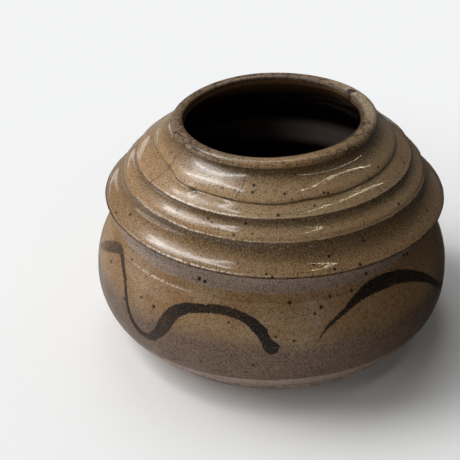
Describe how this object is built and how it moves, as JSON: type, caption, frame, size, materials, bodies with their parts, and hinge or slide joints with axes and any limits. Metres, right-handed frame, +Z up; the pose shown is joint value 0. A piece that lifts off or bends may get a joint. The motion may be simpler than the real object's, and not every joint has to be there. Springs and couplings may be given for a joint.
{
  "type": "water jar",
  "caption": "Low, wide stoneware water jar with an overlapping stepped shoulder, a flat-topped rolled lip and a low foot, for holding fresh water.",
  "frame": {"origin": "middle of the foot's underside, on the jar's axis", "axes": "+Z up along the jar's axis; the jar is turned, so +X and +Y are any two square directions"},
  "size_m": [0.1958, 0.1958, 0.123],
  "materials": {
    "bare_clay": "bare fired stoneware, matte, pale pinkish buff",
    "floor_glaze": "dark brown iron glaze inside, glossy",
    "belly_glaze": "warm brown speckled glaze, satin, with dark iron brushwork",
    "waist_glaze": "thin purple-grey glaze, matte to satin",
    "shoulder_glaze": "olive-tan speckled glaze, glossy, fine iron spots",
    "lip_glaze": "olive-tan glaze with dark crackle, glossy"
  },
  "bodies": {
    "root": {"foot_ring": "bare_clay", "base_slab": "floor_glaze", "lower_bowl": "belly_glaze", "upper_bowl": "belly_glaze", "waist_band": "waist_glaze", "shoulder_course_1": "shoulder_glaze", "shoulder_course_2": "shoulder_glaze", "shoulder_course_3": "shoulder_glaze", "shoulder_course_4": "shoulder_glaze", "rolled_lip": "lip_glaze"}
  },
  "joints": []
}
